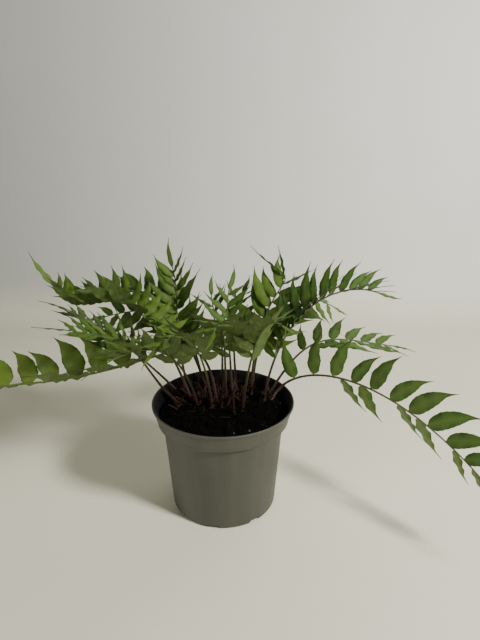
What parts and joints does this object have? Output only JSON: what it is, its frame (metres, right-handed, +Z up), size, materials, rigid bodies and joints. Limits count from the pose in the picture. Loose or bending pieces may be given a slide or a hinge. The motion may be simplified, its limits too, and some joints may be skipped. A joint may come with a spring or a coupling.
{
  "type": "potted holly fern",
  "caption": "Holly fern with arching fronds of sickle-shaped leaflets, in a round plastic nursery pot of compost, standing on its base.",
  "frame": {"origin": "centre of the pot's base, on the surface that it stands on", "axes": "+Z up out of the pot, +X along the widest spread of the fronds, -Y towards the viewer of the picture"},
  "size_m": [0.5202, 0.2154, 0.2439],
  "materials": {
    "pot_plastic": "satin moulded plastic, taupe grey outside and black inside",
    "compost": "loose dark peat with pale flecks and brown fibres",
    "frond": "leathery leaflets, glossy green above and dull olive below, on brown stalks"
  },
  "bodies": {
    "root": {"pot": "pot_plastic", "soil": "compost", "right_low": "frond", "left_low": "frond", "left_up": "frond", "right_high": "frond", "left_high": "frond", "right_up": "frond", "front": "frond", "front_left": "frond", "front_mid": "frond", "front_right": "frond", "left_mid": "frond", "right_mid": "frond", "left_inner": "frond", "left_back": "frond", "centre": "frond", "centre_left": "frond", "centre_back": "frond", "back_right": "frond", "back_left": "frond"}
  },
  "joints": []
}
